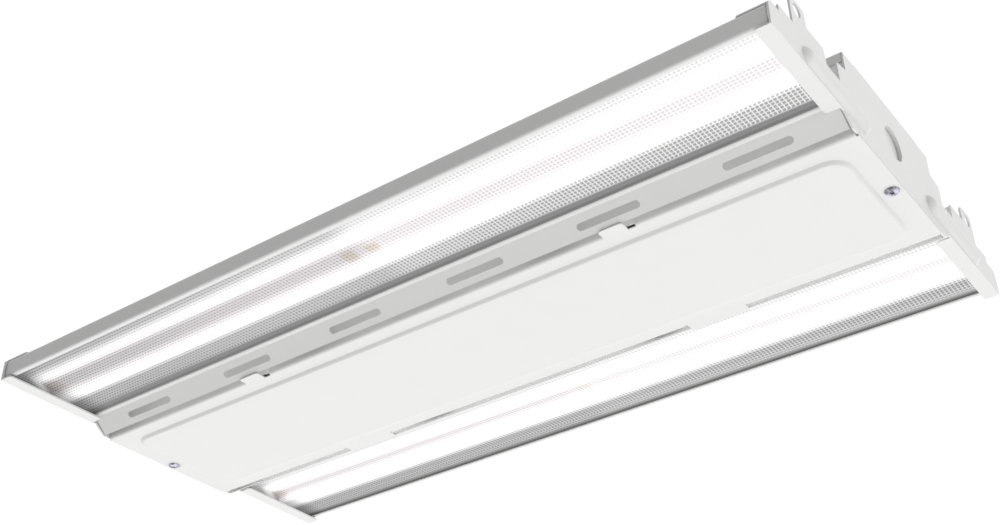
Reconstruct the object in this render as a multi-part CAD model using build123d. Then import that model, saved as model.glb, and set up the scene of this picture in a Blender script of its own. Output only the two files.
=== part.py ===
from build123d import *
import math
import os

# High bay light that hangs with its lenses down: a driver channel along the middle and an LED wing on each
# side. X runs along the light, Y across it and Z up. The origin lies under the middle of the light, in the
# plane of the cover's embossed panel. Sizes are millimetres. A reach is a distance from the middle plane along
# Y, a level is a height above the origin, and both wings are the same piece mirrored.

# Whole light, and how far a cut reaches past the sheet that it opens
body_length = 610.0
fit_gap = 0.2
seat_gap = 0.1
cut_margin = 1.0

# Channel cover: a tray that closes the channel from below
cover_sheet = 0.8
panel_depth = 2.0
panel_end_margin = 14.0
panel_width = 98.0
panel_corner = 14.0
panel_draft = 45.0
cover_fold_height = 10.0
cover_fold_radius = 2.0
near_tab_width = 17.0
far_tab_width = 43.0
tab_spacing = 300.0
tab_overlap = 1.2
near_tab_relief = 5.5
near_tab_shift = -2.0
far_tab_relief = 2.5

# Driver channel and its lid
channel_sheet = 0.9
channel_reach = 60.0
channel_height = 57.5
channel_lip = 12.0
channel_bend = 1.6
lid_sheet = 0.9
lid_fold_height = 7.0
lid_bend = 1.4

# Wings
wing_sheet = 0.9
wing_level = 26.0
wing_reach = 159.2
wing_end_gap = 1.0
wing_inner_reach = 79.6
outer_wall_height = 13.9
outer_lip_width = 3.6
inner_wall_height = 11.8
inner_lip_width = 2.7
web_angle = 42.0
web_clearance = 0.3
outer_top_bend = 3.0
inner_top_bend = 2.5
lip_bend = 1.3
outer_lip_bend = 1.8
small_bend = 0.5

# Vent slots in the sloped web
slot_count = 6
slot_end_margin = 55.0
slot_length = 44.5
slot_width = 5.0
slot_drop = 0.4

# Lens, LED boards and what is on them
board_sheet = 1.6
board_margin = 14.8
board_offset = 0.6
board_end_gap = 4.0
board_seam = 1.0
chip_row_margin = 8.5
chip_end_margin = 14.5
chip_count = 20
chip_length = 3.5
chip_width = 2.8
chip_height = 0.7
chip_to_lens = 1.0
lens_sheet = 2.2
lens_inner_gap = 0.4
lens_outer_gap = 0.9
lens_leg = 1.4
lens_foot = 0.8
lens_foot_height = 3.0
connector_length = 8.0
connector_width = 6.0
connector_height = 0.8
connector_wall = 1.0
connector_shift = 3.0
connector_offset = 6.5
inlet_from_end = 9.5

# End plates
plate_sheet = 1.2
skirt_level = 9.5
skirt_depth = 10.0
skirt_inner_reach = 78.0
skirt_corner = 2.5
plate_foot_reach = 65.5
plate_slope_reach = 74.5
shoulder_level = 47.5
shoulder_edge_level = 45.0
shoulder_reach = 73.5
notch_level = 31.2
notch_reach = 90.0
ear_level = 42.0
ear_reach = 91.5
ring_width = 18.5
ring_level = 54.0
ring_corner = 4.0
ring_hole_radius = 4.5
ring_hole_shift = 10.0
ring_hole_level = 46.8
low_ear_level = 32.2
low_ear_width = 17.0
low_ear_inset = 13.0
side_corner = 2.8
side_overhang = 1.3
ear_fold_depth = 5.0
ear_fold_inset = 0.8
side_fold_length = 23.0
side_fold_chamfer = 3.5
rib_inner_reach = 42.0
rib_end_inset = 36.5
rib_level = 17.0
rib_height = 12.6
rib_depth = 4.0
knockout_radius = 11.5
knockout_level = 33.5
knockout_depth = 2.6
knockout_wall = 0.9
end_fold_depth = 14.0
end_fold_reach = 45.0
cover_fold_depth = 12.0

# Ties welded between the channel and the wings
tie_sheet = 1.0
tie_width = 20.0
tie_count = 2
tie_leg = 10.0
tie_lap = 14.0

# Screws: a pan head with a cross recess in the cover, hexagon heads under the lid
screw_radius = 2.0
screw_head_radius = 4.0
screw_crown_radius = 2.9
screw_head_height = 1.9
screw_inset = 6.5
screw_length = 9.0
recess_length = 4.4
recess_width = 0.9
recess_depth = 1.0

# What hangs inside the channel
driver_length = 250.0
driver_width = 80.0
driver_height = 32.0
driver_centre = -20.0
driver_ear_length = 14.0
driver_ear_sheet = 1.6
driver_corner = 3.0
driver_ear_width = 40.0
block_length = 32.0
block_width = 22.0
block_height = 15.0
block_corner = 1.5
block_from_end = 135.0
port_width = 4.4
port_pitch = 6.9
surge_length = 60.0
surge_width = 42.0
surge_height = 26.0
surge_corner = 4.0
surge_from_end = 70.0
wiring_hole_radius = 11.1
wiring_hole_from_driver = 25.0
ground_screw_from_end = 110.0
ground_screw_reach = 38.0

# Leads, and the sleeves that carry them across the air gaps into the wings
lead_radius = 0.8
lead_flat_count = 8
lead_bend = 8.0
lead_drop_end = 60.0
driver_lead_reach = 26.0
driver_lead_level = 42.0
supply_lead_radius = 1.2
supply_lead_entry = 7.5
surge_lead_spacing = 8.0
sleeve_radius = 1.9
sleeve_flange_radius = 3.0
sleeve_flange = 1.0

# Levels and reaches that follow from the sizes above
half_length = body_length / 2
panel_length = body_length - 2 * panel_end_margin
cover_level = panel_depth
cover_top = cover_level + cover_sheet
cover_reach = channel_reach + seat_gap + cover_sheet
plate_foot = cover_top + fit_gap
channel_foot = cover_level + cover_fold_radius + seat_gap
channel_top = channel_foot + channel_height
lid_top = channel_top + lid_sheet
lid_reach = channel_reach + seat_gap + lid_sheet
plate_inner_face = half_length - plate_sheet
channel_half_length = plate_inner_face - fit_gap
wing_half_length = plate_inner_face - wing_end_gap
slot_pitch = (body_length - 2 * slot_end_margin) / (slot_count - 1)
tie_pitch = 2 * slot_pitch
plate_reach = wing_reach + side_overhang
side_level = wing_level + seat_gap + plate_sheet
low_ear_reach = plate_reach - low_ear_inset
ring_outer_reach = low_ear_reach - low_ear_width
ring_inner_reach = ring_outer_reach - ring_width
ring_hole_reach = ring_inner_reach + ring_hole_shift
rib_outer_reach = plate_reach - rib_end_inset
web_foot = cover_top + web_clearance
outer_lip_level = wing_level - outer_wall_height
inner_lip_top = wing_level - inner_wall_height
back_underside = wing_level - wing_sheet
board_face = back_underside - board_sheet
lens_top = board_face - chip_height - chip_to_lens
lens_face = lens_top - lens_sheet
board_length = (2 * (wing_half_length - board_end_gap) - board_seam) / 2
board_width = wing_reach - wing_inner_reach - 2 * board_margin
chip_row_spacing = board_width - 2 * chip_row_margin
board_centre_reach = (wing_reach + wing_inner_reach) / 2 + board_offset
connector_reach = board_centre_reach + connector_shift
chip_pitch = (board_length - 2 * chip_end_margin) / (chip_count - 1)
inlet_place = -wing_half_length + board_end_gap + inlet_from_end
lead_level = (board_face + lens_top) / 2
block_centre = half_length - block_from_end
surge_centre = half_length - surge_from_end
wiring_hole_centre = driver_centre + driver_length / 2 + wiring_hole_from_driver
ground_screw_centre = half_length - ground_screw_from_end
port_level = channel_top - block_height / 2


def folded_sheet(points, radii, thickness):
    """Section of a folded sheet: its outer line through the points, and the sheet on the line's left side."""
    outer_line = FilletPolyline(*points, radius=radii)
    return make_face(offset(outer_line, amount=thickness, side=Side.LEFT).edges())


def run_along_x(section, start, end):
    """The section, drawn as reach and level, carried along X from start to end."""
    return extrude(Plane.YZ.offset(start) * section, amount=end - start)


def block(x_span, y_span, z_span):
    """A box between two values on each axis."""
    size = [high - low for low, high in (x_span, y_span, z_span)]
    middle = [(high + low) / 2 for low, high in (x_span, y_span, z_span)]
    return Pos(*middle) * Box(*size)


def upright(radius, x, y, low, high):
    """A cylinder along Z."""
    return Pos(x, y, (low + high) / 2) * Cylinder(radius, high - low)


def mirrored_front(shape):
    """The same shape on the other side of the light's long middle plane."""
    return mirror(shape, about=Plane.XZ)


def both_sides(make):
    """The pieces of the back and the front side, by side name."""
    back = make()
    return {"back": back, "front": mirrored_front(back)}


# Channel cover


def cover_tab(centre, width, relief, side):
    """A flat tab that runs on from the cover's face, and the cut in the side fold that leaves it free."""
    reach = wing_inner_web_reach() + tab_overlap
    near_edge = channel_reach - 2 * cover_fold_radius
    tab = block(
        (centre - width / 2, centre + width / 2),
        sorted((side * near_edge, side * reach)),
        (cover_level, cover_top),
    )
    outer_corners = tab.edges().filter_by(Axis.Z).group_by(Axis.Y)[-1 if side > 0 else 0]
    tab = fillet(outer_corners, cover_fold_radius)
    cut = block(
        (centre - width / 2 - relief * (side > 0), centre + width / 2 + relief),
        sorted((side * (cover_reach - cover_fold_radius), side * (cover_reach + cut_margin))),
        (cover_level - cut_margin, cover_level + cover_fold_height + cut_margin),
    )
    return tab, cut


def wing_inner_web_reach():
    """Reach of the web's visible face at its lower edge."""
    slope = math.radians(web_angle)
    lip_end = wing_inner_reach - inner_lip_width
    drop = inner_lip_top - web_foot - wing_sheet * math.cos(slope)
    return lip_end - drop / math.tan(slope) + wing_sheet * math.sin(slope)


def channel_cover():
    """Folded tray with an embossed panel, two pairs of tabs and a hole for a screw at each end."""
    face_reach = cover_reach - cover_fold_radius
    face = block((-half_length, half_length), (-face_reach, face_reach), (cover_level, cover_top))
    fold_top = cover_level + cover_fold_height
    section = folded_sheet(
        [(0, cover_level), (cover_reach, cover_level), (cover_reach, fold_top)],
        [cover_fold_radius],
        cover_sheet,
    )
    fold = run_along_x(section, -channel_half_length, channel_half_length)
    cover = face + fold + mirrored_front(fold)
    for centre in (-tab_spacing / 2, tab_spacing / 2):
        for tab, cut in (
            cover_tab(centre + near_tab_shift, near_tab_width, near_tab_relief, -1),
            cover_tab(centre, far_tab_width, far_tab_relief, 1),
        ):
            cover = cover - cut + tab
    outer_panel = embossed_block(0, cover_level)
    outer_panel = fillet(outer_panel.faces().sort_by(Axis.Z)[0].edges(), panel_depth)
    cover = cover + outer_panel - embossed_block(cover_sheet, cover_top)
    for x in (-half_length + screw_inset, half_length - screw_inset):
        cover -= upright(screw_radius + seat_gap, x, 0, 0, 2 * cover_top)
    return cover


def embossed_block(inset, top):
    """The embossed panel's body, shrunk by an inset, with sloped sides down to its face."""
    depth = top - inset
    length = panel_length - 2 * inset
    width = panel_width - 2 * inset
    outline = RectangleRounded(length, width, panel_corner - inset)
    return extrude(Pos(0, 0, top) * outline, amount=-depth, taper=panel_draft)


def cover_screw(end):
    """Pan-head screw that holds one end of the cover to the end plate's fold."""
    x = end * (half_length - screw_inset)
    crown = cover_level - screw_head_height
    head = Cone(screw_crown_radius, screw_head_radius, screw_head_height)
    head = Pos(x, 0, crown + screw_head_height / 2) * head
    recess = Pos(x, 0, crown) * Rot(0, 0, 45) * cross_recess()
    shank = upright(screw_radius, x, 0, cover_level, cover_level + screw_length)
    return head - recess + shank


def cross_recess():
    """Two crossed bars, as deep below a screw's crown as above it."""
    bar = Box(recess_length, recess_width, 2 * recess_depth)
    return bar + Rot(0, 0, 90) * bar


# Driver channel and lid


def channel_wall():
    """A side wall with its lip turned in under the lid and cleared for the end folds."""
    section = folded_sheet(
        [
            (channel_reach, channel_foot),
            (channel_reach, channel_top),
            (channel_reach - channel_lip, channel_top),
        ],
        [channel_bend],
        channel_sheet,
    )
    wall = run_along_x(section, -channel_half_length, channel_half_length)
    notch_start = plate_inner_face - end_fold_depth - fit_gap
    for end in (-1, 1):
        wall -= block(
            sorted((end * notch_start, end * half_length)),
            (channel_reach - channel_lip - cut_margin, channel_reach - channel_bend - channel_sheet),
            (channel_top - 2 * channel_sheet, channel_top + cut_margin),
        )
    return wall - sleeve_hole(channel_reach - channel_sheet, channel_reach)


def sleeve_hole(low, high):
    """The hole for a lead's sleeve through a wall between two reaches."""
    return along_y(sleeve_radius + seat_gap, inlet_place, lead_level, low - cut_margin, high + cut_margin)


def along_y(radius, x, z, low, high):
    """A cylinder along Y."""
    return Pos(x, (low + high) / 2, z) * Rot(90, 0, 0) * Cylinder(radius, high - low)


def channel_lid():
    """Top plate with folded sides, a wiring hole and the holes for the screws below it."""
    section = folded_sheet(
        [(lid_reach, lid_top - lid_fold_height), (lid_reach, lid_top), (0, lid_top)],
        [lid_bend],
        lid_sheet,
    )
    fold = run_along_x(section, -channel_half_length, channel_half_length)
    lid = fold + mirrored_front(fold)
    lid += block((-half_length, half_length), (-end_fold_reach, end_fold_reach), (channel_top, lid_top))
    lid -= lid_hole(wiring_hole_radius, wiring_hole_centre, 0)
    lid -= lid_hole(screw_radius, ground_screw_centre, ground_screw_reach)
    for x in driver_screw_places():
        lid -= lid_hole(screw_radius, x, 0)
    return lid


def lid_hole(radius, x, y):
    """A round hole through the lid."""
    return upright(radius, x, y, channel_top - cut_margin, lid_top + cut_margin)


# Wings


def wing_section():
    """Section of a wing: outer lip, outer wall, back, inner wall, inner lip and sloped web in one sheet."""
    slope = math.radians(web_angle)
    lip_end = wing_inner_reach - inner_lip_width
    drop = inner_lip_top - web_foot - wing_sheet * math.cos(slope)
    return folded_sheet(
        [
            (wing_reach - outer_lip_width, outer_lip_level),
            (wing_reach, outer_lip_level),
            (wing_reach, wing_level),
            (wing_inner_reach, wing_level),
            (wing_inner_reach, inner_lip_top),
            (lip_end, inner_lip_top),
            (lip_end - drop / math.tan(slope), inner_lip_top - drop),
        ],
        [outer_lip_bend, outer_top_bend, inner_top_bend, small_bend, lip_bend],
        wing_sheet,
    )


def slot_places():
    """Places of the vent slots along X."""
    first = -(slot_count - 1) * slot_pitch / 2
    return [first + index * slot_pitch for index in range(slot_count)]


def wing_housing():
    """One wing's sheet with its vent slots and the hole for the lead's sleeve."""
    wing = run_along_x(wing_section(), -wing_half_length, wing_half_length)
    slope = math.radians(web_angle)
    lip_end = wing_inner_reach - inner_lip_width
    drop = inner_lip_top - web_foot
    middle = (lip_end + wing_inner_web_reach()) / 2 - slot_drop * math.cos(slope)
    level = inner_lip_top - (drop + wing_sheet) / 2 - slot_drop * math.sin(slope)
    for x in slot_places():
        web_plane = Plane(
            origin=(x, middle, level),
            x_dir=(1, 0, 0),
            z_dir=(0, math.sin(slope), -math.cos(slope)),
        )
        wing -= extrude(web_plane * SlotOverall(slot_length, slot_width), amount=2 * wing_sheet, both=True)
    return wing - sleeve_hole(wing_inner_reach, wing_inner_reach + wing_sheet)


# Ties


def tie_places():
    """Places of the ties along X, between the vent slots."""
    first = -(tie_count - 1) * tie_pitch / 2
    return [first + index * tie_pitch for index in range(tie_count)]


def tie_section():
    """Section of a tie: a leg up the channel wall and a foot over the chimney onto the wing's back."""
    return folded_sheet(
        [
            (wing_inner_reach + tie_lap, wing_level),
            (channel_reach, wing_level),
            (channel_reach, wing_level + tie_sheet + tie_leg),
        ][::-1],
        [lip_bend],
        tie_sheet,
    )


def wing_ties():
    """The row of ties on one side."""
    return [run_along_x(tie_section(), x - tie_width / 2, x + tie_width / 2) for x in tie_places()]


# Lens and LED boards


def lens():
    """Clear lens with a leg along each long edge that stands on the wing's lips."""
    outer = wing_reach - wing_sheet - lens_outer_gap
    inner = wing_inner_reach + wing_sheet + lens_inner_gap
    outer_foot = outer_lip_level + wing_sheet
    inner_foot = inner_lip_top
    plate = block((-wing_half_length, wing_half_length), (inner, outer), (lens_face, lens_top))
    ends = (-wing_half_length, wing_half_length)
    leg_top = lens_face + lens_sheet / 2
    outer_leg = block(ends, (outer - lens_leg, outer), (outer_foot + lens_foot_height, leg_top))
    outer_leg += block(ends, (outer - lens_foot, outer), (outer_foot, leg_top))
    inner_leg = block(ends, (inner, inner + lens_leg), (inner_foot + lens_foot_height, leg_top))
    inner_leg += block(ends, (inner, inner + lens_foot), (inner_foot, leg_top))
    return plate + outer_leg + inner_leg


def led_board(end):
    """One LED board on the underside of the wing's back."""
    inner_x = board_seam / 2
    outer_x = inner_x + board_length
    span = sorted((end * inner_x, end * outer_x))
    reach = (board_centre_reach - board_width / 2, board_centre_reach + board_width / 2)
    return block(span, reach, (board_face, back_underside))


def led_chips(end):
    """The two rows of LED packages on one board."""
    middle = end * (board_seam + board_length) / 2
    first = middle - (chip_count - 1) * chip_pitch / 2
    chips = []
    for row in (-1, 1):
        y = board_centre_reach + row * chip_row_spacing / 2
        for index in range(chip_count):
            x = first + index * chip_pitch
            chips.append(
                block(
                    (x - chip_length / 2, x + chip_length / 2),
                    (y - chip_width / 2, y + chip_width / 2),
                    (board_face - chip_height, board_face),
                )
            )
    return chips


def board_connectors():
    """Low connectors on the boards: a pair at the seam and an inlet near the left end."""
    connectors = []
    for x in (-connector_offset, connector_offset, inlet_place):
        body = block(
            (x - connector_length / 2, x + connector_length / 2),
            (connector_reach - connector_width / 2, connector_reach + connector_width / 2),
            (board_face - connector_height, board_face),
        )
        mouth = block(
            (x - connector_length / 2 + connector_wall, x + connector_length / 2 - connector_wall),
            (connector_reach - connector_width / 2, connector_reach - connector_width / 2 + connector_wall),
            (board_face - connector_height, board_face - connector_height / 2),
        )
        connectors.append(body - mouth)
    return connectors


# End plates


def half_outline():
    """Outline of an end plate from the middle of its top edge round to the middle of its foot."""
    return [
        (0, channel_top),
        (lid_reach, channel_top),
        (lid_reach, shoulder_level),
        (shoulder_reach, shoulder_edge_level),
        (shoulder_reach, notch_level),
        (notch_reach, notch_level),
        (ear_reach, ear_level),
        (ring_inner_reach, ear_level),
        (ring_inner_reach, ring_level),
        (ring_outer_reach, ring_level),
        (ring_outer_reach, low_ear_level),
        (low_ear_reach, low_ear_level),
        (low_ear_reach, side_level),
        (plate_reach - side_corner, side_level),
        (plate_reach, side_level - side_corner),
        (plate_reach, skirt_level),
        (plate_slope_reach, skirt_level),
        (plate_foot_reach, plate_foot),
        (0, plate_foot),
    ]


def rib(grow):
    """A half-round rib that stands out of the plate's face, with round ends, grown by a wall thickness."""
    half_height = rib_height / 2
    radius = (half_height ** 2 + rib_depth ** 2) / (2 * rib_depth)
    axis_x = half_length + rib_depth - radius
    start = rib_inner_reach + half_height
    stop = rib_outer_reach - half_height
    body = Pos(axis_x, (start + stop) / 2, rib_level) * Rot(90, 0, 0) * Cylinder(radius + grow, stop - start)
    for y in (start, stop):
        body += Pos(axis_x, y, rib_level) * Sphere(radius + grow)
    return body


def half_plate():
    """The back half of the right end plate: flat face, folds, rib and ring tab."""
    face = make_face(Polyline(*half_outline(), close=True))
    plate = extrude(Plane.YZ.offset(plate_inner_face) * face, amount=plate_sheet)
    corners = plate.edges().filter_by(Axis.X)
    plate = fillet(corners.filter_by_position(Axis.Z, ring_level - seat_gap, ring_level + seat_gap), ring_corner)
    skirt = block(
        (half_length - skirt_depth, half_length),
        (skirt_inner_reach, plate_reach),
        (skirt_level, skirt_level + plate_sheet),
    )
    plate += fillet(skirt.edges().filter_by(Axis.Z).group_by(Axis.X)[0], skirt_corner)
    plate += side_fold()
    plate += ear_fold(ear_reach + ear_fold_inset, ring_inner_reach - ear_fold_inset, ear_level)
    plate += ear_fold(ring_outer_reach + ear_fold_inset, low_ear_reach - ear_fold_inset, low_ear_level)
    plate += block(
        (half_length - end_fold_depth, half_length),
        (0, end_fold_reach),
        (channel_top - plate_sheet, channel_top),
    )
    plate += block(
        (half_length - cover_fold_depth, half_length),
        (0, end_fold_reach),
        (plate_foot, plate_foot + plate_sheet),
    )
    slab = block((plate_inner_face, half_length + 2 * rib_depth), (0, plate_reach), (0, ring_level))
    plate += rib(0) & slab
    plate -= rib(-plate_sheet)
    ring_axis = Pos((plate_inner_face + half_length) / 2, ring_hole_reach, ring_hole_level) * Rot(0, 90, 0)
    plate -= ring_axis * Cylinder(ring_hole_radius, 4 * plate_sheet)
    return plate


def ear_fold(low, high, level):
    """A short fold turned in along the top of an ear."""
    return block((half_length - ear_fold_depth, half_length), (low, high), (level - plate_sheet, level))


def side_fold():
    """The fold that lies on the wing's back beside its outer wall, with a chamfered free corner."""
    fold = block(
        (half_length - side_fold_length, half_length),
        (low_ear_reach + ear_fold_inset, plate_reach - side_corner),
        (side_level - plate_sheet, side_level),
    )
    corner = fold.edges().filter_by(Axis.Z).group_by(Axis.Y)[-1].sort_by(Axis.X)[0]
    return chamfer(corner, side_fold_chamfer)


def end_plate():
    """The right end plate: two mirrored halves, the knock-out and the hole for the cover's screw."""
    back = half_plate()
    plate = back + mirrored_front(back)
    centre = Pos(0, 0, knockout_level) * Rot(0, 90, 0)
    pocket = Pos(half_length - knockout_depth / 2, 0, 0) * centre * Cylinder(knockout_radius, knockout_depth)
    cup = Pos(half_length - (knockout_depth + plate_sheet) / 2, 0, 0) * centre * Cylinder(
        knockout_radius + knockout_wall, knockout_depth + plate_sheet
    )
    plate = plate + cup - pocket
    hole_top = plate_foot + plate_sheet + cut_margin
    return plate - upright(screw_radius, half_length - screw_inset, 0, plate_foot - cut_margin, hole_top)


# Inside the channel


def driver_screw_places():
    """Places of the driver's two screws along X."""
    reach = driver_length / 2 + driver_ear_length / 2
    return [driver_centre - reach, driver_centre + reach]


def led_driver():
    """Sealed driver case with a flat ear at each end, against the lid's underside."""
    case_start = driver_centre - driver_length / 2
    case_end = driver_centre + driver_length / 2
    case = block(
        (case_start, case_end),
        (-driver_width / 2, driver_width / 2),
        (channel_top - driver_height, channel_top),
    )
    case = fillet(case.edges().filter_by(Axis.X).group_by(Axis.Z)[0], driver_corner)
    ears = block(
        (case_start - driver_ear_length, case_end + driver_ear_length),
        (-driver_ear_width / 2, driver_ear_width / 2),
        (channel_top - driver_ear_sheet, channel_top),
    )
    case += ears
    for x in driver_screw_places():
        case -= upright(screw_radius, x, 0, channel_top - 2 * driver_ear_sheet, channel_top + cut_margin)
    return case


def lid_screw(x, y, seat):
    """A hexagon-head screw driven up into the lid, its head under a seat level."""
    hexagon = Pos(x, y, seat - screw_head_height) * RegularPolygon(screw_head_radius, 6)
    return extrude(hexagon, amount=screw_head_height) + upright(screw_radius, x, y, seat, lid_top - fit_gap)


def driver_screws():
    """Screws from below through the driver's ears into the lid."""
    return [lid_screw(x, 0, channel_top - driver_ear_sheet) for x in driver_screw_places()]


def ground_screw():
    """The screw in the lid for the ground lead."""
    return lid_screw(ground_screw_centre, ground_screw_reach, channel_top)


def terminal_block():
    """Supply connector with three ports, against the lid's underside."""
    body = block(
        (block_centre - block_length / 2, block_centre + block_length / 2),
        (-block_width / 2, block_width / 2),
        (channel_top - block_height, channel_top),
    )
    body = fillet(body.edges().filter_by(Axis.Y).group_by(Axis.Z)[0], block_corner)
    port = Box(block_length / 2, port_width, port_width)
    for step in (-1, 0, 1):
        body -= Pos(block_centre - block_length / 2, step * port_pitch, port_level) * port
    return body


def surge_protector():
    """Potted surge protector with rounded corners, against the lid's underside."""
    body = block(
        (surge_centre - surge_length / 2, surge_centre + surge_length / 2),
        (-surge_width / 2, surge_width / 2),
        (channel_top - surge_height, channel_top),
    )
    return fillet(body.edges().filter_by(Axis.Z), surge_corner)


def lead_sleeve():
    """Flanged sleeve that carries a wing's lead from the channel wall across the air gap to the wing."""
    seat = channel_reach - channel_sheet
    start = seat - sleeve_flange
    stop = wing_inner_reach + wing_sheet
    sleeve = along_y(sleeve_radius, inlet_place, lead_level, seat, stop)
    sleeve += along_y(sleeve_flange_radius, inlet_place, lead_level, start, seat)
    return sleeve - along_y(lead_radius, inlet_place, lead_level, start - cut_margin, stop + cut_margin)


def wing_lead():
    """The lead from the driver's left end down to the sleeve, through it and on to the board's inlet."""
    driver_end = driver_centre - driver_length / 2
    route = FilletPolyline(
        (driver_end, driver_lead_reach, driver_lead_level),
        (driver_end - lead_bend * 2, driver_lead_reach, driver_lead_level),
        (driver_end - lead_drop_end, driver_lead_reach, lead_level),
        (inlet_place, driver_lead_reach, lead_level),
        (inlet_place, connector_reach - connector_width / 2, lead_level),
        radius=lead_bend,
    )
    start = Plane(origin=route @ 0, z_dir=route % 0)
    return sweep(start * RegularPolygon(lead_radius, lead_flat_count), path=route)


def supply_leads():
    """Three leads from the driver's right end into the terminal block's ports."""
    start = driver_centre + driver_length / 2
    stop = block_centre - block_length / 2 + supply_lead_entry
    return [straight_lead(step * port_pitch, start, stop) for step in (-1, 0, 1)]


def surge_leads():
    """Two leads from the terminal block to the surge protector."""
    start = block_centre + block_length / 2
    stop = surge_centre - surge_length / 2
    return [straight_lead(step * surge_lead_spacing / 2, start, stop) for step in (-1, 1)]


def straight_lead(y, start, stop):
    """A straight supply lead along X at the level of the block's ports."""
    return run_along_x(Pos(y, port_level) * RegularPolygon(supply_lead_radius, lead_flat_count), start, stop)


def save(name, shape):
    """Writes one piece, or one group of like pieces, as parts/NAME.step."""
    if isinstance(shape, list):
        shape = Compound(children=[item for item in shape])
    export_step(shape, f"parts/{name}.step")


def mirrored_end(shape):
    """The same piece at the left end of the light."""
    return mirror(shape, about=Plane.YZ)


def pieces():
    """Every piece of the light by name."""
    made = {}
    made["channel_lid"] = channel_lid()
    made["channel_cover"] = channel_cover()
    for name, end in (("left", -1), ("right", 1)):
        made[f"cover_screw_{name}"] = cover_screw(end)
    plate = end_plate()
    made["end_plate_right"] = plate
    made["end_plate_left"] = mirrored_end(plate)
    side_makers = {
        "channel_wall": channel_wall,
        "wing_housing": wing_housing,
        "lens": lens,
        "lead_sleeve": lead_sleeve,
        "wing_lead": wing_lead,
    }
    for name, make in side_makers.items():
        for side, shape in both_sides(make).items():
            made[f"{name}_{side}"] = shape
    group_makers = {
        "wing_ties": wing_ties,
        "board_connectors": board_connectors,
    }
    for name, make in group_makers.items():
        group = make()
        made[f"{name}_back"] = group
        made[f"{name}_front"] = [mirrored_front(item) for item in group]
    for name, end in (("left", -1), ("right", 1)):
        board = led_board(end)
        chips = led_chips(end)
        made[f"led_board_back_{name}"] = board
        made[f"led_board_front_{name}"] = mirrored_front(board)
        made[f"led_chips_back_{name}"] = chips
        made[f"led_chips_front_{name}"] = [mirrored_front(item) for item in chips]
    made["led_driver"] = led_driver()
    made["driver_screws"] = driver_screws()
    made["terminal_block"] = terminal_block()
    made["surge_protector"] = surge_protector()
    made["supply_leads"] = supply_leads()
    made["surge_leads"] = surge_leads()
    made["ground_screw"] = ground_screw()
    return made


os.makedirs("parts", exist_ok=True)
for piece_name, piece in pieces().items():
    save(piece_name, piece)
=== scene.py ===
"""Looks of the linear high bay light: finishes, prismatic lenses, screws, studio and camera."""
import logging
import math
from dataclasses import dataclass, field
from enum import Enum
from typing import Optional, Sequence

import bmesh
import bpy
from mathutils import Matrix, Vector


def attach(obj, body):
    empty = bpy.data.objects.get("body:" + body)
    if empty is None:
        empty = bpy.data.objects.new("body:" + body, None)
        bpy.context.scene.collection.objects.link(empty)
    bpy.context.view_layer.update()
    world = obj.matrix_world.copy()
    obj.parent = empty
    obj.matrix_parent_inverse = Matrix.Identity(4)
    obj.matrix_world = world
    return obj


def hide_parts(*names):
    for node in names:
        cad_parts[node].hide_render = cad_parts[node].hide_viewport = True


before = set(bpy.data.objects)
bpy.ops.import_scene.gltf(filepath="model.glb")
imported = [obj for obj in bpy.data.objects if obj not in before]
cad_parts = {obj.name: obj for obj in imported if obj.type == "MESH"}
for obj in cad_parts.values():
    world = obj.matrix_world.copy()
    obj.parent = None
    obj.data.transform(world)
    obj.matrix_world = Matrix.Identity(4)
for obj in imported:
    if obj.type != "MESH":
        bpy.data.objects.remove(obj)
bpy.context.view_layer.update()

LOG = logging.getLogger("high_bay_light")
MM = 0.001
WHITE = (1.0, 1.0, 1.0, 1.0)


class Side(Enum):
    """The two wings of the light, by the sign of Y."""

    BACK = 1
    FRONT = -1

    @property
    def word(self) -> str:
        """The side's name in node names."""
        return self.name.lower()


class End(Enum):
    """The two ends of the light, by the sign of X."""

    LEFT = -1
    RIGHT = 1

    @property
    def word(self) -> str:
        """The end's name in node names."""
        return self.name.lower()


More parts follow.
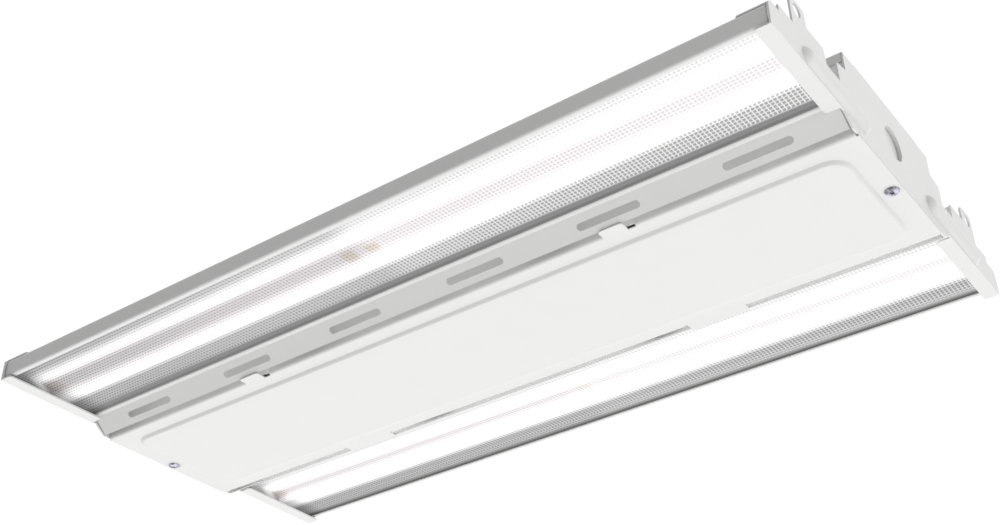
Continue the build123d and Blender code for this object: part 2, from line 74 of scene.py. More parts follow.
class Nodes:
    """A node tree, built up by short calls."""

    def __init__(self, tree: bpy.types.NodeTree) -> None:
        """Takes over a node tree and empties it.

        Args:
            tree: the tree of a material or a world.
        """
        self.tree = tree
        self.tree.nodes.clear()

    def link(self, source: bpy.types.NodeSocket, target: bpy.types.NodeSocket) -> None:
        """Joins two sockets."""
        self.tree.links.new(source, target)

    def feed(self, value: object, target: bpy.types.NodeSocket) -> None:
        """Sets a socket to a number or joins it to another socket.

        Args:
            value: a number, a colour or a socket.
            target: the socket that takes it.
        """
        if isinstance(value, bpy.types.NodeSocket):
            self.link(value, target)
        else:
            target.default_value = value

    def parts(self, vector: bpy.types.NodeSocket) -> tuple[bpy.types.NodeSocket, ...]:
        """Takes a vector apart.

        Args:
            vector: the vector's socket.

        Returns:
            Sockets for its X, Y and Z.
        """
        split = self.tree.nodes.new("ShaderNodeSeparateXYZ")
        self.link(vector, split.inputs["Vector"])
        return tuple(split.outputs[axis] for axis in "XYZ")

    def math(self, operation: str, first: object, second: object = 0.0) -> bpy.types.NodeSocket:
        """One Math node.

        Args:
            operation: the node's operation.
            first: a number or a socket.
            second: a number or a socket.

        Returns:
            The result's socket.
        """
        node = self.tree.nodes.new("ShaderNodeMath")
        node.operation = operation
        self.feed(first, node.inputs[0])
        self.feed(second, node.inputs[1])
        return node.outputs["Value"]

    def ramp(
        self, value: object, low: float, high: float, start: object = 0.0, stop: object = 1.0
    ) -> bpy.types.NodeSocket:
        """A smooth step from start to stop while value goes from low to high.

        Args:
            value: the socket that is read.
            low: where the step starts.
            high: where it ends.
            start: the result below low.
            stop: the result above high.

        Returns:
            The result's socket.
        """
        node = self.tree.nodes.new("ShaderNodeMapRange")
        node.interpolation_type = "SMOOTHSTEP"
        self.feed(value, node.inputs["Value"])
        node.inputs["From Min"].default_value = low
        node.inputs["From Max"].default_value = high
        self.feed(start, node.inputs["To Min"])
        self.feed(stop, node.inputs["To Max"])
        return node.outputs["Result"]


class Graph(Nodes):
    """A material's node tree, with one Principled shader."""

    def __init__(self, name: str) -> None:
        """Starts a material.

        Args:
            name: the material's name.
        """
        self.material = bpy.data.materials.new(name)
        self.material.use_nodes = True
        super().__init__(self.material.node_tree)
        self.shader = self.tree.nodes.new("ShaderNodeBsdfPrincipled")
        output = self.tree.nodes.new("ShaderNodeOutputMaterial")
        self.link(self.shader.outputs["BSDF"], output.inputs["Surface"])

    def place(self, scale: float = 1.0) -> bpy.types.NodeSocket:
        """Object coordinates, scaled.

        Args:
            scale: factor from metres to the pattern's unit.

        Returns:
            The vector socket.
        """
        coordinates = self.tree.nodes.new("ShaderNodeTexCoord")
        mapping = self.tree.nodes.new("ShaderNodeMapping")
        mapping.inputs["Scale"].default_value = (scale, scale, scale)
        self.link(coordinates.outputs["Object"], mapping.inputs["Vector"])
        return mapping.outputs["Vector"]

    def noise(self, vector: bpy.types.NodeSocket, scale: float, detail: float = 2.0) -> bpy.types.NodeSocket:
        """Fractal noise on a vector.

        Args:
            vector: the place that is read.
            scale: the noise's scale, per metre.
            detail: how many octaves it has.

        Returns:
            A socket from 0 to 1.
        """
        node = self.tree.nodes.new("ShaderNodeTexNoise")
        node.inputs["Scale"].default_value = scale
        node.inputs["Detail"].default_value = detail
        self.link(vector, node.inputs["Vector"])
        return node.outputs["Fac"]

    def blend(self, share: object, first: object, second: object) -> bpy.types.NodeSocket:
        """A mix of two colours.

        Args:
            share: how much of the second colour shows.
            first: a colour or a socket.
            second: a colour or a socket.

        Returns:
            The colour socket.
        """
        node = self.tree.nodes.new("ShaderNodeMix")
        node.data_type = "RGBA"
        self.feed(share, node.inputs["Factor"])
        self.feed(first, node.inputs["A"])
        self.feed(second, node.inputs["B"])
        return node.outputs["Result"]

    def openness(self, distance: float, samples: int = 8) -> bpy.types.NodeSocket:
        """How open the surroundings of a point are: 1 on a free face, less in a crease or a gap.

        Args:
            distance: how far away other faces count, in metres.
            samples: how many directions are looked at.

        Returns:
            A socket from 0 to 1.
        """
        node = self.tree.nodes.new("ShaderNodeAmbientOcclusion")
        node.samples = samples
        node.inputs["Distance"].default_value = distance
        return node.outputs["AO"]

    def bump(self, height: bpy.types.NodeSocket, distance: float) -> None:
        """Gives the shader a bump.

        Args:
            height: a socket from 0 to 1.
            distance: the bump's real depth, in metres.
        """
        node = self.tree.nodes.new("ShaderNodeBump")
        node.inputs["Distance"].default_value = distance
        node.inputs["Strength"].default_value = 1.0
        self.link(height, node.inputs["Height"])
        self.link(node.outputs["Normal"], self.shader.inputs["Normal"])


@dataclass(frozen=True)
class PowderCoat:
    """Satin white powder coat with a fine orange-peel, with painted shade that darkens it in creases and narrow
    gaps.
    """

    name: str = "white_powder_coat"
    colour: tuple[float, float, float] = (0.74, 0.74, 0.735)
    roughness: float = 0.42
    specular: float = 0.4
    tint_scale: float = 40.0
    tint_depth: float = 0.975
    peel_depth: float = 0.000012
    peel_scale: float = 900.0
    # Painted shade: in creases and narrow gaps, as found by an ambient-occlusion node, the colour falls to this
    # share of itself.
    crease: float = 0.35
    crease_reach: float = 0.0025
    crease_shut: float = 0.2
    crease_open: float = 0.8

    def material(self) -> bpy.types.Material:
        """Makes the finish's node tree.

        Returns:
            The material.
        """
        graph = Graph(self.name)
        vector = graph.place()
        tint = graph.noise(vector, self.tint_scale)
        darker = tuple(value * self.tint_depth for value in self.colour)
        coat = graph.blend(tint, (*self.colour, 1.0), (*darker, 1.0))
        # Painted shade: where the surroundings are shut in, the coat's colour is blended towards its darker
        # copy.
        crease_shade_colour = tuple(value * self.crease for value in self.colour)
        crease_shade_share = graph.ramp(graph.openness(self.crease_reach), self.crease_shut, self.crease_open, 1.0, 0.0)
        graph.link(graph.blend(crease_shade_share, coat, (*crease_shade_colour, 1.0)), graph.shader.inputs["Base Color"])
        graph.shader.inputs["Roughness"].default_value = self.roughness
        graph.shader.inputs["Specular IOR Level"].default_value = self.specular
        graph.bump(graph.noise(vector, self.peel_scale), self.peel_depth)
        return graph.material


@dataclass(frozen=True)
class Metal:
    """Bare or plated metal with a mottled surface."""

    name: str
    colour: tuple[float, float, float]
    roughness: float = 0.32
    contrast: float = 1.12
    mottle_scale: float = 260.0
    mottle_detail: float = 4.0
    patch_edge: tuple[float, float] = (0.35, 0.65)
    sheen_edge: tuple[float, float] = (0.3, 0.7)
    smoother: float = 0.8
    rougher: float = 1.2

    def material(self) -> bpy.types.Material:
        """Makes the finish's node tree.

        Returns:
            The material.
        """
        graph = Graph(self.name)
        vector = graph.place()
        mottle = graph.noise(vector, self.mottle_scale, self.mottle_detail)
        paler = tuple(min(1.0, value * self.contrast) for value in self.colour)
        share = graph.ramp(mottle, *self.patch_edge)
        graph.link(graph.blend(share, (*self.colour, 1.0), (*paler, 1.0)), graph.shader.inputs["Base Color"])
        graph.shader.inputs["Metallic"].default_value = 1.0
        sheen = self.roughness * self.smoother, self.roughness * self.rougher
        graph.link(graph.ramp(mottle, *self.sheen_edge, *sheen), graph.shader.inputs["Roughness"])
        return graph.material


@dataclass(frozen=True)
class Moulded:
    """Moulded plastic or rubber with a faint grain."""

    name: str
    colour: tuple[float, float, float]
    roughness: float = 0.5
    grain_scale: float = 700.0
    grain_detail: float = 3.0
    grain_depth: float = 0.00001
    contrast: float = 1.06
    lift: float = 0.004

    def material(self) -> bpy.types.Material:
        """Makes the finish's node tree.

        Returns:
            The material.
        """
        graph = Graph(self.name)
        vector = graph.place()
        grain = graph.noise(vector, self.grain_scale, self.grain_detail)
        paler = tuple(min(1.0, value * self.contrast + self.lift) for value in self.colour)
        graph.link(graph.blend(grain, (*self.colour, 1.0), (*paler, 1.0)), graph.shader.inputs["Base Color"])
        graph.shader.inputs["Roughness"].default_value = self.roughness
        graph.bump(grain, self.grain_depth)
        return graph.material


@dataclass(frozen=True)
class Packages:
    """LED packages: phosphor that glows warm white."""

    name: str = "led_package"
    colour: tuple[float, float, float] = (0.98, 0.92, 0.70)
    paler: tuple[float, float, float] = (1.0, 0.97, 0.86)
    glow: float = 2.0
    roughness: float = 0.25
    grain_scale: float = 900.0

    def material(self) -> bpy.types.Material:
        """Makes the finish's node tree.

        Returns:
            The material.
        """
        graph = Graph(self.name)
        vector = graph.place()
        grain = graph.noise(vector, self.grain_scale)
        tint = graph.blend(grain, (*self.colour, 1.0), (*self.paler, 1.0))
        graph.link(tint, graph.shader.inputs["Base Color"])
        graph.link(tint, graph.shader.inputs["Emission Color"])
        graph.shader.inputs["Emission Strength"].default_value = self.glow
        graph.shader.inputs["Roughness"].default_value = self.roughness
        return graph.material


@dataclass(frozen=True)
class Row:
    """The image of one row of LEDs in a lens: it fades slowly towards -Y and ends sharply towards +Y.

    All places are Y, in millimetres.
    """

    dark: float
    full: float
    last: float
    end: float


@dataclass(frozen=True)
class Zone:
    """A strip of the lenses beside or between the rows: its glow and the depth of its dots at the two ends."""

    start: float
    left: float
    right: float
    dots_left: float
    dots_right: float


@dataclass(frozen=True)
class Patch:
    """A tan connector that shows through a lens. Lengths are millimetres."""

    side: Side
    place: float
    reach: float
    half_length: float
    half_width: float
    strength: float


@dataclass(frozen=True)
class Shift:
    """A smooth change between two places, in millimetres, and the level that it leads to."""

    start: float
    stop: float
    level: float


@dataclass(frozen=True)
class Prisms:
    """Prismatic acrylic in front of two lit rows of LEDs in each wing. Lengths are millimetres.

    The lens itself glows with painted light: its rows, zones and patches are what the LEDs and connectors
    behind it look like through the prisms. Its legs glow only dimly as painted shade of the wing's walls and
    lips, its left end is darkened as painted shade, and the glow between the rows is painted brighter towards
    the right end.
    """

    name: str = "prismatic_acrylic"
    pitch: float = 2.76
    dot_place: tuple[float, float] = (0.95, 0.41)
    dot_cover: float = 0.49
    middle: float = 119.15
    face: float = 19.6
    row_glow: float = 0.7
    row_dots: float = 0.1
    brightest: float = 1.06
    rows: tuple[Row, ...] = (
        Row(-145.0, -131.0, -134.0, -124.0),
        Row(-118.5, -101.0, -101.0, -94.0),
        Row(95.0, 103.0, 107.0, 113.5),
        Row(117.0, 128.0, 139.0, 148.3),
    )
    zones: tuple[Zone, ...] = (
        Zone(-170.0, 0.34, 0.86, 0.50, 0.20),
        Zone(-132.0, 0.43, 0.88, 0.50, 0.20),
        Zone(-103.0, 0.36, 0.58, 0.45, 0.56),
        Zone(0.0, 0.72, 0.80, 0.20, 0.20),
        Zone(104.0, 0.69, 0.88, 0.25, 0.20),
        Zone(132.0, 0.36, 0.45, 0.45, 0.56),
        Zone(153.0, 0.40, 0.52, 0.45, 0.50),
    )
    patches: tuple[Patch, ...] = (
        Patch(Side.FRONT, -297.0, 119.5, 7.0, 7.0, 0.6),
        Patch(Side.FRONT, -13.5, 118.0, 5.5, 6.0, 1.0),
        Patch(Side.FRONT, 4.5, 117.0, 5.5, 4.5, 1.0),
        Patch(Side.BACK, -299.0, 118.0, 6.0, 6.0, 0.5),
        Patch(Side.BACK, 8.5, 117.5, 6.5, 6.5, 0.4),
    )
    # Painted shade: the legs along the long edges glow only dimly, for the shade of the wing's walls; the
    # second level is the lip's painted shadow at the inner foot.
    rim_shades: tuple[Shift, ...] = (Shift(82.6, 80.4, 0.24), Shift(78.0, 75.8, 0.155), Shift(158.5, 165.5, 0.10))
    # Painted light: the haze between the rows grows brighter from the left end to the right end.
    shares_along: tuple[Shift, ...] = (
        Shift(-300.0, -20.0, 0.35),
        Shift(-15.0, 15.0, 0.45),
        Shift(20.0, 300.0, 0.2),
    )
    # Painted shade: the glow is darkened towards the left end of each lens.
    left_end_shade: tuple[float, float] = (-313.0, -288.0)
    left_end_shade_level: float = 0.3
    zone_blend: float = 1.0
    middle_blend: float = 1.0
    dot_edge: tuple[float, float] = (0.05, 0.45)
    end_carry: float = 1.6
    inner_carry: float = -1.18
    outer_carry: float = 1.66
    pink: tuple[float, float, float] = (1.0, 0.955, 0.97)
    pink_start: tuple[float, float] = (106.0, 112.0)
    pink_stop: tuple[float, float] = (126.0, 131.0)
    tan: tuple[float, float, float] = (1.0, 0.87, 0.75)
    patch_inside: float = 2.0
    patch_outside: float = 1.0
    patch_shade: float = 0.12
    patch_ground: float = 0.6
    patch_dots: float = 0.4
    body: float = 0.03
    roughness: float = 0.18
    specular: float = 0.25

    def flat(self, graph: Graph) -> tuple[bpy.types.NodeSocket, ...]:
        """Places on the lens's face, carried on over its legs as if these lay in the face's plane.

        Args:
            graph: the material's graph.

        Returns:
            Sockets for X, Y and the sign of Y.
        """
        x, y, z = graph.parts(graph.place(scale=1.0 / MM))
        depth = graph.math("MAXIMUM", graph.math("SUBTRACT", self.face, z), 0.0)
        along = graph.math("MULTIPLY", graph.math("SIGN", x), graph.math("MULTIPLY", depth, self.end_carry))
        reach = graph.math("ABSOLUTE", y)
        border = self.middle - self.middle_blend, self.middle + self.middle_blend
        share = graph.ramp(reach, *border, self.inner_carry, self.outer_carry)
        reach = graph.math("ADD", reach, graph.math("MULTIPLY", depth, share))
        sign = graph.math("SIGN", y)
        return graph.math("ADD", x, along), graph.math("MULTIPLY", reach, sign), sign

    def wave(self, graph: Graph, value: bpy.types.NodeSocket, place: float) -> bpy.types.NodeSocket:
        """One direction of the lattice of dots, 1 at each dot's middle.

        Args:
            graph: the material's graph.
            value: place along the direction.
            place: where one dot's middle lies.

        Returns:
            A socket from 0 to 1.
        """
        turn = graph.math("MULTIPLY", graph.math("SUBTRACT", value, place), 2 * math.pi / self.pitch)
        half = graph.math("ADD", graph.math("MULTIPLY", graph.math("COSINE", turn), 0.5), 0.5)
        return graph.ramp(half, *self.dot_edge)

    def glow(self, graph: Graph, y: bpy.types.NodeSocket) -> bpy.types.NodeSocket:
        """The light of the rows.

        Args:
            graph: the material's graph.
            y: place across the light.

        Returns:
            The strength's socket.
        """
        total: object = 0.0
        for row in self.rows:
            rise = graph.ramp(y, row.dark, row.full, 0.0, self.row_glow)
            fall = graph.ramp(y, row.last, row.end, 1.0, 0.0)
            total = graph.math("ADD", total, graph.math("MULTIPLY", rise, fall))
        return total

    def haze(self, graph: Graph, x: bpy.types.NodeSocket, y: bpy.types.NodeSocket) -> tuple[object, object]:
        """The light between the rows and the depth of its dots.

        Args:
            graph: the material's graph.
            x: place along the light.
            y: place across it.

        Returns:
            The strength's socket and the depth's.
        """
        share: object = 0.0
        for part in self.shares_along:
            share = graph.math("ADD", share, graph.ramp(x, part.start, part.stop, 0.0, part.level))
        light: object = 0.0
        depth: object = 0.0
        for zone in self.zones:
            ends = [(zone.left, zone.dots_left), (zone.right, zone.dots_right)]
            low, high = (value / (1.0 - dots * self.dot_cover) for value, dots in ends)
            levels = [
                graph.math("ADD", graph.math("MULTIPLY", share, stop - start), start)
                for start, stop in ((low, high), (zone.dots_left, zone.dots_right))
            ]
            border = zone.start - self.zone_blend, zone.start + self.zone_blend
            light = graph.ramp(y, *border, light, levels[0])
            depth = graph.ramp(y, *border, depth, levels[1])
        return light, depth

    def spot(self, graph: Graph, x: bpy.types.NodeSocket, y: bpy.types.NodeSocket) -> bpy.types.NodeSocket:
        """Where the tan connectors behind the lenses show through them.

        Args:
            graph: the material's graph.
            x: place along the light.
            y: place across it.

        Returns:
            A socket from 0 to 1.
        """
        total: object = 0.0
        for patch in self.patches:
            blob: object = patch.strength
            middle = patch.side.value * patch.reach
            for value, place, half in ((x, patch.place, patch.half_length), (y, middle, patch.half_width)):
                away = graph.math("ABSOLUTE", graph.math("SUBTRACT", value, place))
                edge = half - self.patch_inside, half + self.patch_outside
                blob = graph.math("MULTIPLY", blob, graph.ramp(away, *edge, 1.0, 0.0))
            total = graph.math("ADD", total, blob)
        return total

    def prism_row(
        self, graph: Graph, across: bpy.types.NodeSocket, centre: bpy.types.NodeSocket
    ) -> bpy.types.NodeSocket:
        """The middle of the prism row that a point lies in, so that each row of prisms glows evenly.

        Args:
            graph: the material's graph.
            across: place across the wing, from its middle.
            centre: Y of the wing's middle.

        Returns:
            A socket with the row's Y.
        """
        count = graph.math("DIVIDE", graph.math("SUBTRACT", across, self.dot_place[1]), self.pitch)
        count = graph.math("FLOOR", graph.math("ADD", count, 0.5))
        place = graph.math("ADD", graph.math("MULTIPLY", count, self.pitch), self.dot_place[1])
        return graph.math("ADD", place, centre)

    def dimmed(self, graph: Graph, light: object, loss: bpy.types.NodeSocket) -> bpy.types.NodeSocket:
        """A light less a share of itself."""
        return graph.math("MULTIPLY", light, graph.math("SUBTRACT", 1.0, loss))

    def material(self) -> bpy.types.Material:
        """Makes the finish's node tree.

        Returns:
            The material.
        """
        graph = Graph(self.name)
        x, y, sign = self.flat(graph)
        centre = graph.math("MULTIPLY", sign, self.middle)
        across = graph.math("SUBTRACT", y, centre)
        dot = graph.math(
            "MULTIPLY", self.wave(graph, x, self.dot_place[0]), self.wave(graph, across, self.dot_place[1])
        )
        light, depth = self.haze(graph, x, y)
        reach = graph.math("ABSOLUTE", y)
        # Painted shade along the legs: the glow falls to each rim's level there, without dots.
        for rim in self.rim_shades:
            light = graph.ramp(reach, rim.start, rim.stop, light, rim.level)
            depth = graph.ramp(reach, rim.start, rim.stop, depth, 0.0)
        spot = self.spot(graph, x, y)
        light = self.dimmed(graph, light, graph.math("MULTIPLY", spot, self.patch_shade))
        light = self.dimmed(graph, light, graph.math("MULTIPLY", depth, dot))
        glow = self.glow(graph, self.prism_row(graph, across, centre))
        glow = self.dimmed(graph, glow, graph.math("MULTIPLY", dot, self.row_dots))
        # Painted shade towards the left end.
        ends = graph.ramp(x, *self.left_end_shade, self.left_end_shade_level, 1.0)
        total = graph.math("MULTIPLY", graph.math("ADD", light, glow), ends)
        graph.link(graph.math("MINIMUM", total, self.brightest), graph.shader.inputs["Emission Strength"])
        between = graph.math(
            "MULTIPLY", graph.ramp(reach, *self.pink_start), graph.ramp(reach, *self.pink_stop, 1.0, 0.0)
        )
        tint = graph.blend(between, WHITE, (*self.pink, 1.0))
        share = graph.math("ADD", graph.math("MULTIPLY", dot, self.patch_dots), self.patch_ground)
        warm = graph.math("MULTIPLY", spot, share)
        graph.link(graph.blend(warm, tint, (*self.tan, 1.0)), graph.shader.inputs["Emission Color"])
        graph.shader.inputs["Base Color"].default_value = (self.body, self.body, self.body, 1.0)
        graph.shader.inputs["Roughness"].default_value = self.roughness
        graph.shader.inputs["Specular IOR Level"].default_value = self.specular
        return graph.material


class Shape:
    """A mesh in the making, in millimetres of the row frame."""

    def __init__(self) -> None:
        """Starts an empty mesh."""
        self.form = bmesh.new()

    def slab(self, low: Sequence[float], high: Sequence[float]) -> list[bmesh.types.BMVert]:
        """Adds a box between two corners.

        Args:
            low: the lowest corner.
            high: the highest corner.

        Returns:
            The box's vertices.
        """
        size = [b - a for a, b in zip(low, high)]
        middle = [(a + b) / 2 for a, b in zip(low, high)]
        place = Matrix.Translation(middle) @ Matrix.Diagonal((*size, 1.0))
        return bmesh.ops.create_cube(self.form, size=1.0, matrix=place)["verts"]

    def finish(
        self,
        name: str,
        materials: Sequence[bpy.types.Material],
        smooth: bool = False,
        replaces: Sequence[str] = (),
        slot: Optional[str] = None,
    ) -> bpy.types.Object:
        """Turns the mesh into a piece of the light.

        Args:
            name: the piece's name.
            materials: its materials, by slot.
            smooth: shades it smoothly.
            replaces: nodes of the frame that it stands for.
            slot: the record's material slot; not used.

        Returns:
            The new object.
        """
        bmesh.ops.scale(self.form, verts=self.form.verts, vec=(MM, MM, MM))
        mesh = bpy.data.meshes.new(name)
        self.form.to_mesh(mesh)
        self.form.free()
        for face in mesh.polygons:
            face.use_smooth = smooth
        piece = bpy.data.objects.new(name, mesh)
        bpy.context.scene.collection.objects.link(piece)
        for material in materials:
            mesh.materials.append(material)
        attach(piece, "root")
        if replaces:
            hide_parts(*replaces)
        LOG.info("%s: %d faces", name, len(mesh.polygons))
        return piece


@dataclass
class Lens:
    """One wing's clear lens: a plate with prisms on its face and a leg along each long edge."""

    side: Side
    inner: float = 80.9
    outer: float = 157.4
    half_length: float = 302.8
    face: float = 19.6
    prism_height: float = 0.5
    top: float = 21.8
    prisms_along: int = 220
    prisms_across: int = 28
    leg: float = 1.4
    foot: float = 0.8
    foot_height: float = 3.0
    outer_foot: float = 13.0
    inner_foot: float = 14.2

    def plate(self, shape: Shape) -> None:
        """Makes the plate: a grid of prisms, walls round its rim and a flat back.

        Args:
            shape: the mesh that gets the plate.
        """
        form = shape.form
        middle = self.side.value * (self.inner + self.outer) / 2
        place = Matrix.Translation((0.0, middle, self.face + self.prism_height)) @ Matrix.Diagonal(
            (self.half_length, (self.outer - self.inner) / 2, 1.0, 1.0)
        )
        made = bmesh.ops.create_grid(
            form, x_segments=self.prisms_along, y_segments=self.prisms_across, size=1.0, matrix=place
        )
        faces = list({face for vert in made["verts"] for face in vert.link_faces})
        bmesh.ops.reverse_faces(form, faces=faces)
        rim = [edge for edge in form.edges if edge.is_boundary]
        bmesh.ops.poke(form, faces=faces, offset=self.prism_height)
        walls = bmesh.ops.extrude_edge_only(form, edges=rim)["geom"]
        upper = [item for item in walls if isinstance(item, bmesh.types.BMVert)]
        rise = self.top - self.face - self.prism_height
        bmesh.ops.translate(form, verts=upper, vec=(0.0, 0.0, rise))
        bmesh.ops.contextual_create(form, geom=[edge for edge in form.edges if edge.is_boundary])
        bmesh.ops.recalc_face_normals(form, faces=form.faces)

    def legs(self, shape: Shape) -> None:
        """Makes the legs that stand on the wing's lips, and a short wall below each end.

        Args:
            shape: the mesh that gets the legs.
        """
        for edge, inward, foot in ((self.outer, -1, self.outer_foot), (self.inner, 1, self.inner_foot)):
            for thickness, low, high in (
                (self.foot, foot, foot + self.foot_height),
                (self.leg, foot + self.foot_height, self.face + self.prism_height),
            ):
                reach = sorted((self.side.value * edge, self.side.value * (edge + inward * thickness)))
                shape.slab((-self.half_length, reach[0], low), (self.half_length, reach[1], high))
        reach = sorted(self.side.value * edge for edge in (self.inner + self.leg, self.outer - self.leg))
        for end in End:
            span = sorted(end.value * edge for edge in (self.half_length, self.half_length - self.foot))
            shape.slab((span[0], reach[0], self.inner_foot), (span[1], reach[1], self.face + self.prism_height))

    def build(self, material: bpy.types.Material) -> bpy.types.Object:
        """Builds the lens.

        Args:
            material: the lens's finish.

        Returns:
            The piece.
        """
        shape = Shape()
        self.plate(shape)
        self.legs(shape)
        name = f"lens_{self.side.word}"
        return shape.finish(f"prism_{name}", [material], replaces=[name], slot="prismatic_acrylic")


@dataclass
class CoverScrew:
    """A plated pan-head screw with a cross recess, at one end of the cover."""

    end: End
    inset: float = 6.5
    half_length: float = 305.0
    seat: float = 2.0
    head_height: float = 1.9
    head_radius: float = 4.4
    head_rim: float = 0.3
    crown: float = 0.25
    crown_turns: int = 8
    tip: float = 0.8
    shank_radius: float = 2.0
    shank_length: float = 9.0
    recess_arm: float = 4.0
    recess_width: float = 0.9
    recess_depth: float = 1.1
    recess_taper: float = 0.55
    recess_turns: tuple[float, float] = (45.0, 135.0)
    overcut: float = 1.0
    steps: int = 48
    weld: float = 0.001
    sharp_angle: float = 35.0

    def head(self, shape: Shape) -> None:
        """Spins the head's and the shank's profile about the screw's axis.

        Args:
            shape: the mesh that gets the screw.
        """
        form = shape.form
        points = [(0.0, self.seat - self.head_height)]
        for index in range(self.crown_turns + 1):
            angle = math.pi / 2 * index / self.crown_turns
            x = self.head_radius * (self.crown + (1.0 - self.crown) * math.sin(angle))
            rise = (self.head_height - self.head_rim) * math.cos(angle)
            points.append((x, self.seat - self.head_rim - rise))
        points += [
            (self.head_radius, self.seat),
            (self.shank_radius, self.seat),
            (self.shank_radius, self.seat + self.shank_length),
            (0.0, self.seat + self.shank_length + self.tip),
        ]
        verts = [form.verts.new((x, 0.0, z)) for x, z in points]
        edges = [form.edges.new(pair) for pair in zip(verts, verts[1:])]
        bmesh.ops.spin(
            form,
            geom=verts + edges,
            cent=(0.0, 0.0, 0.0),
            axis=(0.0, 0.0, 1.0),
            dvec=(0.0, 0.0, 0.0),
            angle=2 * math.pi,
            steps=self.steps,
            use_merge=True,
        )
        bmesh.ops.remove_doubles(form, verts=form.verts, dist=self.weld)
        bmesh.ops.recalc_face_normals(form, faces=form.faces)

    def recess_bar(self, turn: float) -> bpy.types.Object:
        """One bar of the cross that is cut out of the head.

        Args:
            turn: the bar's turn about the screw's axis, in degrees.

        Returns:
            A helper object, to be removed after the cut.
        """
        cutter = Shape()
        low = self.seat - self.head_height - self.overcut
        high = self.seat - self.head_height + self.recess_depth
        along, across = self.recess_arm / 2, self.recess_width / 2
        verts = cutter.slab((-along, -across, low), (along, across, high))
        upper = [vert for vert in verts if vert.co.z > (low + high) / 2]
        bmesh.ops.scale(cutter.form, verts=upper, vec=(self.recess_taper, self.recess_taper, 1.0))
        bmesh.ops.rotate(cutter.form, verts=verts, matrix=Matrix.Rotation(math.radians(turn), 3, "Z"))
        bmesh.ops.translate(cutter.form, verts=verts, vec=self.centre())
        bmesh.ops.scale(cutter.form, verts=cutter.form.verts, vec=(MM, MM, MM))
        mesh = bpy.data.meshes.new("recess")
        cutter.form.to_mesh(mesh)
        cutter.form.free()
        helper = bpy.data.objects.new("recess", mesh)
        bpy.context.scene.collection.objects.link(helper)
        return helper

    def centre(self) -> tuple[float, float, float]:
        """The screw's place along the light."""
        return (self.end.value * (self.half_length - self.inset), 0.0, 0.0)

    def build(self, material: bpy.types.Material) -> bpy.types.Object:
        """Builds the screw.

        Args:
            material: the plating.

        Returns:
            The piece.
        """
        shape = Shape()
        self.head(shape)
        bmesh.ops.translate(shape.form, verts=shape.form.verts, vec=self.centre())
        node = f"cover_screw_{self.end.word}"
        piece = shape.finish(f"pan_{node}", [material], smooth=True, replaces=[node], slot="zinc_steel")
        for turn in self.recess_turns:
            helper = self.recess_bar(turn)
            cut = piece.modifiers.new("recess", "BOOLEAN")
            cut.operation = "DIFFERENCE"
            cut.solver = "EXACT"
            cut.object = helper
            settled = piece.evaluated_get(bpy.context.evaluated_depsgraph_get())
            piece.data = bpy.data.meshes.new_from_object(settled)
            piece.modifiers.clear()
            bpy.data.objects.remove(helper)
        piece.data.set_sharp_from_angle(angle=math.radians(self.sharp_angle))
        return piece


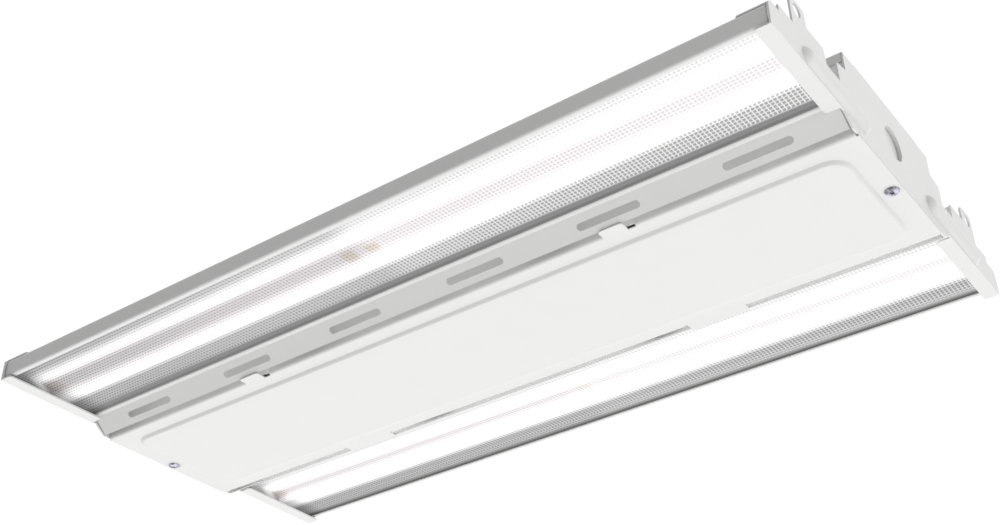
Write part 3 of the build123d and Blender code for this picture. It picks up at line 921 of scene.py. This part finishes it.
@dataclass
class Studio:
    """Camera, pale floor, soft light. Lengths are metres, the camera's focal length and sensor millimetres."""

    place: tuple[float, float, float] = (0.50500, -0.66944, -0.48433)
    forward: tuple[float, float, float] = (-0.48982546, 0.67395887, 0.55303748)
    roll_degrees: float = -0.684
    focal: float = 51.27
    sensor: float = 36.0
    nearest: float = 0.01
    farthest: float = 100.0
    sky_level: float = 1.458
    dimmer_in_front: float = 1.294
    dimmer_at_right: float = 0.49
    dimmer_above: float = 0.12
    backdrop: float = 1.05
    floor_level: float = -2.4
    floor_half: float = 20.0
    floor_tone: float = 0.92
    floor_roughness: float = 0.9
    lamp_place: tuple[float, float, float] = (1.5, -1.0, -0.35)
    lamp_target: tuple[float, float, float] = (0.3, -0.1, 0.03)
    lamp_size: float = 1.2
    lamp_power: float = 5.0

    def camera(self) -> None:
        """The camera at the photograph's angle."""
        data = bpy.data.cameras.new("camera")
        data.lens = self.focal
        data.sensor_width = self.sensor
        data.clip_start = self.nearest
        data.clip_end = self.farthest
        camera = bpy.data.objects.new("camera", data)
        bpy.context.scene.collection.objects.link(camera)
        forward, roll = Vector(self.forward), math.radians(self.roll_degrees)
        across = forward.cross(Vector((0, 0, 1))).normalized()
        upward = across.cross(forward).normalized()
        right = across * math.cos(roll) + upward * math.sin(roll)
        top = upward * math.cos(roll) - across * math.sin(roll)
        turn = Matrix((right, top, -forward)).transposed()
        camera.matrix_world = Matrix.Translation(self.place) @ turn.to_4x4()
        bpy.context.scene.camera = camera

    def world(self) -> None:
        """White surroundings, dimmest in front, dimmer at the right and a little dimmer above."""
        world = bpy.data.worlds.new("studio")
        bpy.context.scene.world = world
        world.use_nodes = True
        graph = Nodes(world.node_tree)
        output = graph.tree.nodes.new("ShaderNodeOutputWorld")
        background = graph.tree.nodes.new("ShaderNodeBackground")
        coordinates = graph.tree.nodes.new("ShaderNodeTexCoord")
        x, y, z = graph.parts(coordinates.outputs["Generated"])
        level: object = self.sky_level
        for value, drop in (
            (graph.math("MULTIPLY", y, -1.0), self.dimmer_in_front),
            (x, self.dimmer_at_right),
            (z, self.dimmer_above),
        ):
            level = graph.math("SUBTRACT", level, graph.ramp(value, 0.0, 1.0, 0.0, drop))
        seen = graph.tree.nodes.new("ShaderNodeLightPath")
        mix = graph.tree.nodes.new("ShaderNodeMix")
        graph.link(seen.outputs["Is Camera Ray"], mix.inputs["Factor"])
        graph.link(level, mix.inputs["A"])
        mix.inputs["B"].default_value = self.backdrop
        graph.link(mix.outputs["Result"], background.inputs["Strength"])
        graph.link(background.outputs["Background"], output.inputs["Surface"])
        background.inputs["Color"].default_value = WHITE

    def floor(self) -> None:
        """A pale floor, well below the hanging light."""
        mesh = bpy.data.meshes.new("floor")
        form = bmesh.new()
        bmesh.ops.create_grid(form, x_segments=1, y_segments=1, size=self.floor_half)
        bmesh.ops.translate(form, verts=form.verts, vec=(0.0, 0.0, self.floor_level))
        form.to_mesh(mesh)
        form.free()
        floor = bpy.data.objects.new("floor", mesh)
        bpy.context.scene.collection.objects.link(floor)
        graph = Graph("floor")
        tone = (self.floor_tone, self.floor_tone, self.floor_tone, 1.0)
        graph.shader.inputs["Base Color"].default_value = tone
        graph.shader.inputs["Roughness"].default_value = self.floor_roughness
        mesh.materials.append(graph.material)
        floor.visible_diffuse = False
        floor.visible_glossy = False
        floor.visible_shadow = False

    def lamps(self) -> None:
        """One large soft lamp on the right, near the front."""
        data = bpy.data.lights.new("key", "AREA")
        data.size = self.lamp_size
        data.energy = self.lamp_power
        lamp = bpy.data.objects.new("key", data)
        bpy.context.scene.collection.objects.link(lamp)
        lamp.location = self.lamp_place
        lamp.rotation_mode = "QUATERNION"
        aim = Vector(self.lamp_target) - Vector(self.lamp_place)
        lamp.rotation_quaternion = aim.to_track_quat("-Z", "Y")

    def build(self) -> None:
        """Sets the whole studio up."""
        self.camera()
        self.world()
        self.floor()
        self.lamps()
        settings = bpy.context.scene.view_settings
        settings.view_transform = "Standard"
        settings.look = "None"


Finish = PowderCoat | Metal | Moulded | Packages | Prisms


@dataclass
class Dressing:
    """Finishes for the nodes of the frame, by the start of their names. The rest is powder-coated."""

    coat_slot: str = "white_powder_coat"
    finishes: dict[str, Finish] = field(
        default_factory=lambda: {
            "lens_": Prisms(),
            "led_board": Moulded("circuit_board", (0.9, 0.9, 0.89), 0.35),
            "led_chips": Packages(),
            "board_connectors": Moulded("tan_connector", (0.62, 0.42, 0.22), 0.45),
            # Painted light: the channel walls get a paler copy of the white powder coat than the rest, so that
            # they look more brightly lit where they show through the slots.
            "channel_wall": PowderCoat("inside_coat_painted_lighter", (0.93, 0.93, 0.925)),
            # Plated steel, painted far darker than zinc so that the screw heads show dark: painted reflection
            # of dark surroundings.
            "cover_screw": Metal("zinc_steel", (0.15, 0.145, 0.165), 0.25, 3.8),
            "driver_screws": Metal("zinc_steel", (0.15, 0.145, 0.165), 0.25, 3.8),
            "wing_ties": Metal("zinc_sheet", (0.62, 0.63, 0.65), 0.4),
            "led_driver": Moulded("driver_case", (0.8, 0.8, 0.8), 0.45),
            "terminal_block": Moulded("orange_polymer", (0.80, 0.30, 0.05), 0.35),
            "surge_protector": Moulded("black_polymer", (0.03, 0.03, 0.03), 0.5),
            "lead_sleeve": Moulded("black_rubber", (0.04, 0.04, 0.04), 0.7),
            "wing_lead": Moulded("lead_jacket", (0.8, 0.8, 0.79), 0.5),
            "supply_leads": Moulded("black_jacket", (0.05, 0.05, 0.05), 0.5),
            "surge_leads": Moulded("black_jacket", (0.05, 0.05, 0.05), 0.5),
            "ground_screw": Moulded("green_steel", (0.05, 0.35, 0.12), 0.3),
        }
    )

    def dress(self) -> dict[str, bpy.types.Material]:
        """Gives every node of the frame its finish.

        Returns:
            The materials, by name.
        """
        made: dict[str, bpy.types.Material] = {}
        for name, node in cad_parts.items():
            matches = (value for start, value in self.finishes.items() if name.startswith(start))
            finish = next(matches, PowderCoat())
            if finish.name not in made:
                made[finish.name] = finish.material()
            node.data.materials.clear()
            node.data.materials.append(made[finish.name])
            LOG.info("%s: %s", name, finish.name)
        return made


def main() -> None:
    """Builds the studio and dresses the light."""
    logging.basicConfig(level=logging.INFO, format="%(name)s %(message)s")
    Studio().build()
    made = Dressing().dress()
    for side in Side:
        Lens(side).build(made["prismatic_acrylic"])
    for end in End:
        CoverScrew(end).build(made["zinc_steel"])


if __name__ == "__main__":
    main()
